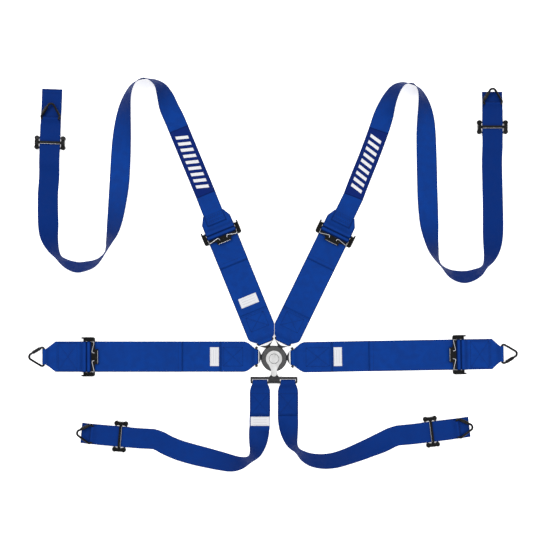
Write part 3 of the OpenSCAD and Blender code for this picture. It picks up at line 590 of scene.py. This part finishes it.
def dress_frame():
    """Gives the carried-over metal nodes their materials."""
    # The buckle's rim is in the housing's slot, but it is as dark as the wire
    slots = {s["node"]: s["material_slot"] for s in frame["record"]["subparts"]}
    for node, obj in frame["nodes"].items():
        material = METALS["wire_steel"] if node == "buckle_rim" else METALS.get(slots[node])
        if material:
            for slot in obj.material_slots:
                slot.material = material


# ---------- worn edges and painted highlights of the hardware ---


def bead(name, spot, paths, r, body):
    """A bright flattened bead along each path of (along, left, height) in a spot's frame: worn metal on the
    adjusters, a painted highlight on the slides.
    """
    ahead, left, up = left_of(spot[2] - 90), left_of(spot[2]), Vector((0, 0, 1))
    origin = Vector((spot[0], spot[1], 0))
    steps, sides, end_size, flat = 4, 8, 0.6, 0.7
    verts, faces = [], []
    for path in paths:
        fine = smooth_path([origin + ahead * x + left * y + up * z for x, y, z in path], steps)
        last = len(fine) - 1
        rings = []
        for i, p in enumerate(fine):
            side = (fine[min(i + 1, last)] - fine[max(i - 1, 0)]).cross(up).normalized()
            rings.append((p, side, up * flat, r * (end_size if i in (0, last) else 1.0)))
        add_tube(verts, faces, rings, sides)
    finish_piece(add_mesh(name, verts, faces), body, METALS["wear_and_highlight_edge"])


def build_edges():
    """Bright worn edges of each adjuster's gull-wing lip and tab, and a painted highlight along each slide's
    centre bar.
    """
    lip_z, tab_z, bar_z = 8.8, 10.1, 12.9
    tab_x, bar_x = -24.4, -2.8
    for kind, spot in ADJUSTERS.items():
        family, side = kind.split("_")
        gull = [(-8.6, 37.4, lip_z), (-14.6, 37.2, lip_z), (-14.2, 31, lip_z), (-11.6, 20, lip_z),
                (-10.2, 12.6, lip_z), (-12, 10.4, lip_z), (-16.2, 9.6, lip_z)]
        mirrored = [(x, -y, z) for x, y, z in gull]
        tab = [(tab_x, y, tab_z) for y in (-16.4, 0, 16.4)]
        bead(f"{family}_lip_edge_{side}", spot, [gull, mirrored], 0.85, f"{family}_adjuster_{side}")
        bead(f"{family}_tab_edge_{side}", spot, [tab], 0.45, f"{family}_adjuster_{side}")
    # Each slide's centre bar gets a bright bead, a painted highlight
    for kind, (spot, _, _) in SLIDES.items():
        family, side = kind.split("_")
        bar = [(bar_x, y, bar_z) for y in (-26, 0, 26)]
        bead(f"{family}_slide_highlight_{side}", spot, [bar], 0.4, f"{family}_slide_{side}")


def cap_groove_shadow():
    """A dark flattened ring round the lever's cap: painted shadow in the groove there."""
    r, wire, flat, height, steps, sides = 11.9, 0.5, 0.6, 22.7, 96, 10
    verts, faces = [], []
    for i in range(steps):
        turn = math.tau * i / steps
        for k in range(sides):
            a = math.tau * k / sides
            reach = r + wire * math.cos(a)
            rise = wire * flat * math.sin(a)
            verts.append(Vector((reach * math.cos(turn), reach * math.sin(turn), height + rise)))
            b, m = (i + 1) % steps * sides, (k + 1) % sides
            faces.append((i * sides + k, b + k, b + m, i * sides + m))
    finish_piece(add_mesh("cap_groove_shadow", verts, faces), "lever", METALS["stamped_steel"])


# ---------- webbing pieces ----------


def web(name, band, body, material, replaced, closed=False):
    """A piece of webbing that rides on one body."""
    obj = web_piece(name, band, closed=closed)
    finish_piece(obj, body, material, replaced)


def right_half(kind, s, half):
    """Right half width of the left shoulder strap (left half of the right one), cut back at the seam line."""
    spot = SPOTS[kind]
    sign = -1 if kind == "shoulder_left" else 1
    centre_x = further(spot, s)[0]
    limit = SEAM_X + sign * SEAM_GAP / 2
    reach = abs(limit - centre_x) / abs(math.sin(math.radians(spot[2])))
    return min(half, reach)


def lower_rows(kind):
    """Sewn return on top, round the tongue bar, then out along the floor under the adjuster's bar."""
    run, sewn, taper, _ = LOWER[kind]
    bar_half, fullness = 18.0, 1.2
    # Distance between rows near the bar and further out, and where the return leaves the straight layer
    fine, coarse, leaves = 3.0, 6.0, 24

    def half(s):
        """Half width, which grows in a round shoulder from the bar to the full width."""
        if s <= 0:
            return bar_half
        return bar_half + (WIDE / 2 - bar_half) * math.sin(min(1, s / taper) * math.pi / 2) ** fullness

    wrap = [(s, z) for s, z, _ in arc_rows((0, BAR_Z), TONGUE_R + WEB_T / 2, 66, 270, 16, WIDE)]
    top = [(sewn - coarse * k, DOUBLE_MID) for k in range(int((sewn - leaves) / coarse) + 1)]
    top += [(18, DOUBLE_MID + 0.25), (13, 3.9), (8, 6.4), (4.5, 8.6)]
    out = [(fine * k, FLOOR_MID) for k in range(1, 9)] + [(coarse * k, FLOOR_MID) for k in range(5, 14)]
    out += [(run - 12, FLOOR_MID), (run - 4, FLOOR_MID)]
    rows = []
    for s, z in top + wrap + out:
        h = half(s)
        if not kind.startswith("shoulder"):
            rows.append((s, z, 2 * h))
            continue
        cut = right_half(kind, s, h)
        left, right = (h, cut) if kind == "shoulder_left" else (cut, h)
        rows.append((s, z, 2 * left, right))
    return rows


def tail_rows(length):
    """The free tail of a lower strap: up round the adjuster's grip bar and back on top of the strap."""
    wrap = arc_rows((GRIP_X, BAR_Z), GRIP_R + WEB_T / 2, -90, 196, 22, WIDE)
    down = [(GRIP_X - 5.3, 3.7, WIDE), (GRIP_X - 6.6, 3.0, WIDE), (GRIP_X - 8.6, TAIL_LAYER, WIDE)]
    return [(-11.7, FLOOR_MID, WIDE)] + wrap + down + [(-30, TAIL_LAYER, WIDE), (-length, TAIL_LAYER, WIDE)]


def lower_side(kind):
    """A lower strap and its tail. Returns the strap and two places along it, one near its tongue and one near
    its adjuster.
    """
    family, side = kind.split("_")
    run, sewn, _, tail_end = LOWER[kind]
    body, adjuster = f"{family}_strap_{side}", f"{family}_adjuster_{side}"
    spot = SPOTS[kind]
    band = Band(level_rows(spot, lower_rows(kind)))
    piece = web_piece(f"{family}_webbing_{side}", band)
    piece.data.materials.append(WEB_WIDE)
    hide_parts(body)
    # Two places along it: one beside its tongue, and one near its adjuster
    still, follows = 128, run - 14
    near, far = further(spot, still), further(spot, follows)
    start = (near[0] * MM, near[1] * MM, 0.0)
    end = (far[0] * MM, far[1] * MM, 0.0)

    # Stitching of the sewn return: a box with a cross and a row near its end
    first = 20
    top = Band(level_rows(spot, [(s, DOUBLE_MID, WIDE) for s in (first, sewn)]))
    length = sewn - first
    lines = box_cross(14, length - 8, 0.62) + crosswise([length - 4], 0.93)
    stitching(f"{family}_box_stitch_{side}", top, lines, body, THREAD_DARK)

    tail_length = run - tail_end
    tail = Band(level_rows(ADJUSTERS[kind], tail_rows(tail_length)), 5)
    replaced = [f"{family}_tail_{side}"]
    web(f"{family}_tail_webbing_{side}", tail, adjuster, WEB_WIDE, replaced)
    # A double hem at the free end. The band runs towards the buckle, so its upper face is on the other side
    flat_rows = [(-40, TAIL_LAYER, WIDE), (-tail_length, TAIL_LAYER, WIDE)]
    flat_tail = Band(level_rows(ADJUSTERS[kind], flat_rows))
    hem = crosswise([flat_tail.length - 3, flat_tail.length - 11], 0.95)
    stitching(f"{family}_hem_stitch_{side}", flat_tail, hem, adjuster, THREAD_DARK, off=-STITCH_OFF)
    return piece, start, end


# Width of the loop piece where the slim strap is sewn on it
LOOP_END = 54


def rear_wrap():
    """Distances and heights round the adjuster's rear bar, slack towards the grip bar, and down behind it."""
    slack = 1.2
    turn = arc_rows((0, BAR_Z), REAR_R + WEB_T / 2, 270, 74, 16, WIDE)
    wrap = [(REAR_X + s * (slack if s < 0 else 1.0), z) for s, z, _ in turn]
    return wrap + [(REAR_X + 4.5, 7.9), (REAR_X + 8, 5.4), (REAR_X + 12, 3.2), (REAR_X + 16, DOUBLE_MID)]


def loop_rows():
    """The wide loop piece: under layer, round the rear bar, and back on top."""
    under = [(54, FLOOR_MID, LOOP_END), (34, FLOOR_MID, WIDE), (20, FLOOR_MID, WIDE)]
    round_bar = [(s, z, WIDE) for s, z in rear_wrap()]
    return under + round_bar + [(34, DOUBLE_MID, WIDE), (54, DOUBLE_MID, LOOP_END)]


def slim_end_rows(hook, tail):
    """The far end of a slim strap: into its slide, round the hook's bar, back through the slide and out."""
    narrow = 37
    rows = [(-85, FLOOR_MID, SLIM), (-78, 1.4, SLIM), (-70, 2.7, SLIM), (-62, 4.9, SLIM), (-55, 7.1, SLIM)]
    rows += [(-49, 8.4, SLIM), (-43, MAIN_MID, SLIM), (0, MAIN_MID, SLIM), (hook - 16, MAIN_MID, SLIM)]
    rows += [(hook - 12, 9.3, 49), (hook - 8.5, 10.8, 44)]
    rows += arc_rows((hook, HOOK_Z), HOOK_R + WEB_T / 2, 128, -90, 18, narrow)
    rows += [(hook - 6, RETURN_MID, 43), (hook - 14, RETURN_MID, SLIM), (-20, RETURN_MID, SLIM)]
    rows += arc_rows((-20.5, (RETURN_MID + TAIL_MID) / 2), (RETURN_MID - TAIL_MID) / 2, 90, 270, 6, SLIM)
    rows += [(0, TAIL_MID, SLIM), (hook + 6, TAIL_MID, SLIM), (hook + 11, 4.6, SLIM), (hook + 16, 3.3, SLIM)]
    return rows + [(hook + 22, 1.7, SLIM), (hook + 28, FLOOR_MID, SLIM), (tail, FLOOR_MID, SLIM)]


def upper_side(side):
    """An upper shoulder strap with its loop piece. Returns the strap's band for the patch."""
    kind = f"shoulder_{side}"
    body = f"shoulder_upper_{side}"
    spot = ADJUSTERS[kind]
    loop = Band(level_rows(spot, loop_rows()), 5)
    web(f"loop_webbing_{side}", loop, body, WEB_WIDE, [f"shoulder_loop_{side}"])
    start = [(26, 4.1, SLIM), (40, 4.1, SLIM), (54, 4.1, SLIM), (59, 3.6, SLIM), (66, 2.4, SLIM)]
    start += [(74, 1.3, SLIM), (82, FLOOR_MID, SLIM)]
    slide, hook, tail = SLIDES[kind]
    rows = level_rows(spot, start) + route_rows(ROUTES[kind], 5)
    band = Band(rows + level_rows(slide, slim_end_rows(hook, tail)))
    web(f"upper_webbing_{side}", band, body, WEB_UPPER, [body])
    # Bar tacks that sew the slim strap on the loop piece
    first, last = 2.5, 26.0
    lines = crosswise((first, last), 0.9)
    lines += zigzag(6, 13, 0.85, 14) + zigzag(16, 23, 0.85, 14)
    lines += lengthwise(first, last, 0.9)
    stitching(f"upper_stitch_{side}", band, lines, body, THREAD_DARK)
    top_rows = [(24, DOUBLE_MID, WIDE), (34, DOUBLE_MID, WIDE), (54, DOUBLE_MID, LOOP_END)]
    loop_top = Band(level_rows(spot, top_rows))
    stitching(f"loop_stitch_{side}", loop_top, lengthwise(3, 24, 0.93), body, THREAD_DARK)
    tail_stitch(f"upper_tail_stitch_{side}", slide, tail, body)
    return band


def tail_stitch(name, slide, tail, body):
    """Hem at the free end of a slim tail."""
    flat = Band(level_rows(slide, [(tail - 14, FLOOR_MID, SLIM), (tail, FLOOR_MID, SLIM)]))
    stitching(name, flat, crosswise((4, 11), 0.92), body, THREAD_DARK)


def lap_end_rows(hook):
    """A closed loop of webbing: round the adjuster's rear bar and, narrower, round the hook's bar."""
    straight, narrow = 82, 38

    def width(s):
        if s <= straight:
            return WIDE
        return WIDE + (narrow - WIDE) * min(1, (s - straight) / (hook - 4 - straight))

    front = [(hook + s, z) for s, z, _ in arc_rows((0, BAR_Z), HOOK_R + WEB_T / 2, 106, -90, 16, WIDE)]
    over = [(straight, DOUBLE_MID), (hook - 17, DOUBLE_MID)]
    over += [(hook - 13, 3.4), (hook - 9, 5.2), (hook - 4.5, 7.8)]
    back = [(hook - 4, FLOOR_MID), (straight, FLOOR_MID), (50, FLOOR_MID)]
    path = [(50, FLOOR_MID)] + rear_wrap() + over + front + back
    return [(s, z, width(s)) for s, z in path]


def lap_side(side):
    """The doubled end of a lap strap, between its adjuster and its hook."""
    body = f"lap_end_{side}"
    spot = ADJUSTERS[f"lap_{side}"]
    reach = LAP_HOOK_REACH[side]
    band = Band(level_rows(spot, lap_end_rows(reach)), 5)
    web(f"lap_end_webbing_{side}", band, body, WEB_WIDE, [body], closed=True)
    top = Band(level_rows(spot, [(s, DOUBLE_MID, WIDE) for s in (24, 82)]))
    lines = box_cross(4, 50, 0.86) + lengthwise(2, 52, 0.93) + zigzag(51.5, 56, 0.8, 16)
    stitching(f"lap_end_stitch_{side}", top, lines, body, THREAD_DARK)


def leg_rows():
    """Sewn return, round the bar with a slack fold that reaches towards the rail, and out underneath."""
    slack, narrow = 1.45, 36
    turn = arc_rows((0, BAR_Z), TONGUE_R + WEB_T / 2, 66, 270, 16, narrow)
    rows = [(83, DOUBLE_MID, SLIM), (26, DOUBLE_MID, SLIM)]
    rows += [(20, 2.9, 50), (14, 4.4, 46), (8, 7.2, 41), (4.5, 8.9, 38)]
    rows += [(s * slack if s < 0 else s, z, width) for s, z, width in turn]
    rows += [(6, FLOOR_MID, 40), (12, FLOOR_MID, 46), (20, FLOOR_MID, 50)]
    return rows + [(26, FLOOR_MID, SLIM), (60, FLOOR_MID, SLIM)]


def leg_side(side):
    """A leg strap, from its tongue to its hook."""
    kind = f"leg_{side}"
    body = f"leg_strap_{side}"
    slide, hook, tail = SLIDES[kind]
    rows = level_rows(SPOTS[kind], leg_rows()) + route_rows(ROUTES[kind], 6)
    band = Band(rows + level_rows(slide, slim_end_rows(hook, tail)))
    web(f"leg_webbing_{side}", band, body, WEB_LEG, [body])
    top = Band(level_rows(SPOTS[kind], [(26, DOUBLE_MID, SLIM), (83, DOUBLE_MID, SLIM)]))
    stitching(f"leg_stitch_{side}", top, box_cross(2, 53, 0.86), body, THREAD_DARK)
    tail_stitch(f"leg_tail_stitch_{side}", slide, tail, body)


def label(name, spot, start, end, body, replaced):
    """A satin label, a touch wavy, sewn down along its edges."""
    band = Band(level_rows(spot, [(start, LABEL_MID, LABEL_WIDTH), (end, LABEL_MID, LABEL_WIDTH)]), 2)
    obj = web_piece(name, band, half_t=0.2, ripple=0.12)
    finish_piece(obj, body, LABEL, [replaced])
    first, last = 1.2, band.length - 1.2
    lines = crosswise((first, last), 0.95) + lengthwise(first, last, 0.95)
    stitching(name + "_stitch", band, lines, body, THREAD_WHITE, off=0.16, pitch=3, r=0.26)


def patch(side, band):
    """Navy cover sewn over the slim strap, with a row of plain slanted bars as its only pattern."""
    body = f"shoulder_upper_{side}"
    first, last, steps = 77.0, 255.0, 47
    half, lift = 24.6, WEB_T / 2 + 0.45
    rows = []
    for k in range(steps + 1):
        s = first + (last - first) * k / steps
        centre, left = band.point(s, 0, lift), band.point(s, 1, lift)
        rows.append((centre, (left - centre).normalized(), half, half))
    cover = Band(rows, 8)
    obj = web_piece(f"patch_cover_{side}", cover, half_t=0.4)
    finish_piece(obj, body, PATCH, [f"shoulder_patch_{side}"])
    run = cover.length
    lines = lengthwise(2, run - 2, 0.94) + crosswise((2, run - 2), 0.94)
    stitching(f"patch_stitch_{side}", cover, lines, body, THREAD_DARK, off=0.36, pitch=3.4, r=0.36)
    bars(f"patch_bars_{side}", cover, body)


def bars(name, cover, body):
    """Raised white embroidery: a row of equal slanted bars."""
    verts, faces = [], []
    count, first, pitch, width, lean, reach = 9, 14, 16.5, 8.0, 9.0, 0.62
    # Height over the cover's middle and bevel, in mm along and as a share across, ring by ring
    rings = ((0.3, 0.0, 0.0), (0.75, 0.0, 0.0), (0.95, 0.6, 0.018))
    for k in range(count):
        s = first + pitch * k
        corners = [(s, -reach), (s + width, -reach), (s + width + lean, reach), (s + lean, reach)]
        base = len(verts)
        for level, inset, narrowing in rings:
            for i, (u, v) in enumerate(corners):
                du = inset if i in (0, 3) else -inset
                dv = narrowing if i in (0, 1) else -narrowing
                verts.append(cover.point(u + du, v + dv, level))
        for ring in range(2):
            for i in range(4):
                m = (i + 1) % 4
                a = base + 4 * ring
                faces.append((a + i, a + m, a + 4 + m, a + 4 + i))
        faces.append((base + 3, base + 2, base + 1, base))
        faces.append((base + 8, base + 9, base + 10, base + 11))
    obj = add_mesh(name, verts, faces, smooth=False)
    finish_piece(obj, body, THREAD_WHITE)


def build_webbing():
    """All soft pieces. The lower straps have their transforms baked last."""
    stretches = [(kind, lower_side(kind)) for kind in LOWER]
    for side in ("left", "right"):
        patch(side, upper_side(side))
        lap_side(side)
        leg_side(side)
    label("label_shoulder_satin", SPOTS["shoulder_left"], 97, 122, "shoulder_strap_left", "label_shoulder")
    label("label_lap_left_satin", SPOTS["lap_left"], 93.5, 116, "lap_strap_left", "label_lap_left")
    label("label_lap_right_satin", SPOTS["lap_right"], 103, 124, "lap_strap_right", "label_lap_right")
    label("label_leg_satin", SPOTS["leg_left"], 86, 109, "leg_strap_left", "label_leg")
    for kind, (piece, start, end) in stretches:
        family, side = kind.split("_")
        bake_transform(piece)


# ---------- stage, in metres ----------

# Name, place, size and power of each light
LIGHTS = (
    ("key", (-1.6, 1.9, 2.6), 1.6, 60),
    ("fill", (2.2, 0.4, 2.4), 2.2, 34),
    ("front", (0.2, -2.2, 2.0), 2.0, 26),
)
# Where the lights point
AIM = Vector((0.0, 0.2, 0.0))
# The camera looks straight down. Its lens and sensor are in millimetres
CAMERA_PLACE, CAMERA_LENS, CAMERA_SENSOR = (0.0025, 0.208, 3.247), 85, 36
# The floor lies a little below the frame's ground, so that nothing shares its plane
FLOOR_SIZE, FLOOR_Z = 60, -0.0004
WORLD_STRENGTH = 0.75


def stage():
    """A white floor, a soft white world, three lights and the camera."""
    bpy.ops.mesh.primitive_plane_add(size=FLOOR_SIZE, location=(0, 0, FLOOR_Z))
    floor = bpy.context.object
    floor.name = "studio_floor"
    floor.data.materials.append(floor_material())

    world = bpy.data.worlds.new("studio")
    bpy.context.scene.world = world
    world.use_nodes = True
    background = world.node_tree.nodes["Background"]
    background.inputs["Color"].default_value = (1, 1, 1, 1)
    background.inputs["Strength"].default_value = WORLD_STRENGTH

    for name, place, size, power in LIGHTS:
        lamp = bpy.data.lights.new(name, "AREA")
        lamp.size = size
        lamp.energy = power
        obj = bpy.data.objects.new(name, lamp)
        obj.location = Vector(place)
        obj.rotation_euler = (AIM - obj.location).to_track_quat("-Z", "Y").to_euler()
        bpy.context.scene.collection.objects.link(obj)

    camera = bpy.data.cameras.new("camera")
    camera.lens = CAMERA_LENS
    camera.sensor_width = CAMERA_SENSOR
    view = bpy.data.objects.new("camera", camera)
    view.location = CAMERA_PLACE
    bpy.context.scene.collection.objects.link(view)
    bpy.context.scene.camera = view
    bpy.context.scene.view_settings.view_transform = "Standard"


stage()
dress_frame()
build_edges()
cap_groove_shadow()
build_webbing()
